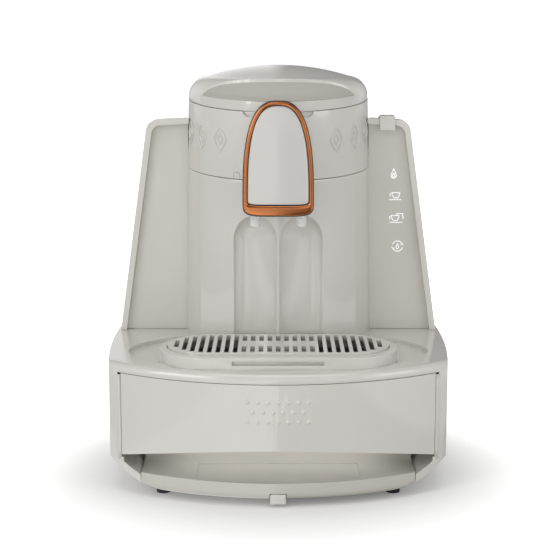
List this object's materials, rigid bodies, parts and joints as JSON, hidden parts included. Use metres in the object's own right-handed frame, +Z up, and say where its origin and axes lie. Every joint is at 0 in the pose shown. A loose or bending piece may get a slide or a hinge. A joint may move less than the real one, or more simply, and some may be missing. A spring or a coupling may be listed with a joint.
{
  "type": "electric turkish coffee maker",
  "caption": "Electric Turkish coffee maker: tower with lidded brewing chamber and two-outlet spout over a drip tray, on a base with a tank drawer, with a rear shield.",
  "frame": {"origin": "centre of the footprint, on the surface that the feet stand on", "axes": "+Z up, the front with the spout faces -Y, +X to the right seen from the front"},
  "size_m": [0.245, 0.2367, 0.292],
  "materials": {
    "shell": "satin moulded plastic, warm light grey",
    "shield": "fine satin, slightly darker warm grey",
    "spout_white": "glossy off-white",
    "copper": "polished copper-coloured metal",
    "clear_plastic": "milky clear plastic",
    "steel": "drawn stainless steel",
    "rubber": "black rubber",
    "silicone": "grey silicone",
    "inner_plastic": "grey structural plastic",
    "dark_plastic": "black plastic",
    "board": "green circuit board"
  },
  "bodies": {
    "root": {"base_housing": "shell", "bottom_pan": "shell", "base_plate": "inner_plastic", "rear_cover": "shell", "power_inlet": "dark_plastic", "shield_left": "shield", "shield_right": "shield", "shroud_left": "shell", "shroud_right": "shell", "tower_shell": "shell", "head_band": "shell", "brewing_chamber": "steel", "chamber_collar": "inner_plastic", "heater_plate": "steel", "outlet_block": "inner_plastic", "valve_coil": "dark_plastic", "inner_frame": "inner_plastic", "outlet_duct": "silicone", "hinge_bracket": "shell", "hinge_pin": "steel", "water_pump": "dark_plastic", "power_board": "board", "control_board": "board", "rim_clip": "shell", "drawer_runner_left": "inner_plastic", "drawer_runner_right": "inner_plastic", "foot_1": "rubber", "foot_2": "rubber", "foot_3": "rubber", "foot_4": "rubber", "front_clip": "shell"},
    "lid": {"top_lid": "shell", "lid_liner": "inner_plastic"},
    "drawer": {"drawer_front": "shell", "drawer_chassis": "inner_plastic", "water_tank": "clear_plastic", "water_tank_lid": "inner_plastic", "waste_tank": "clear_plastic", "waste_tank_lid": "inner_plastic"},
    "drip_tray": {"drip_tray": "shell"},
    "drip_grid": {"drip_grid": "shell"},
    "spout_cover": {"spout_housing": "shell", "spout_trim": "copper", "spout_face": "spout_white", "nozzle_left": "clear_plastic", "nozzle_right": "clear_plastic"},
    "outlet_valve": {"outlet_valve": "silicone"}
  },
  "joints": [
    {"name": "lid_hinge", "type": "hinge", "parent": "root", "child": "lid", "pos_m": [0, 0.1144, 0.274], "axis": [-1, 0, 0], "range_deg": [0, 85]},
    {"name": "drawer_slide", "type": "slide", "parent": "root", "child": "drawer", "axis": [0, -1, 0], "range_m": [0, 0.13]},
    {"name": "tray_lift", "type": "slide", "parent": "root", "child": "drip_tray", "axis": [0, 0, 1], "range_m": [0, 0.05]},
    {"name": "grid_lift", "type": "slide", "parent": "drip_tray", "child": "drip_grid", "axis": [0, 0, 1], "range_m": [0, 0.03]},
    {"name": "spout_pull", "type": "slide", "parent": "root", "child": "spout_cover", "axis": [0, -1, 0], "range_m": [0, 0.03]},
    {"name": "valve_lift", "type": "slide", "parent": "root", "child": "outlet_valve", "axis": [0, 0, 1], "range_m": [0, 0.007]}
  ]
}
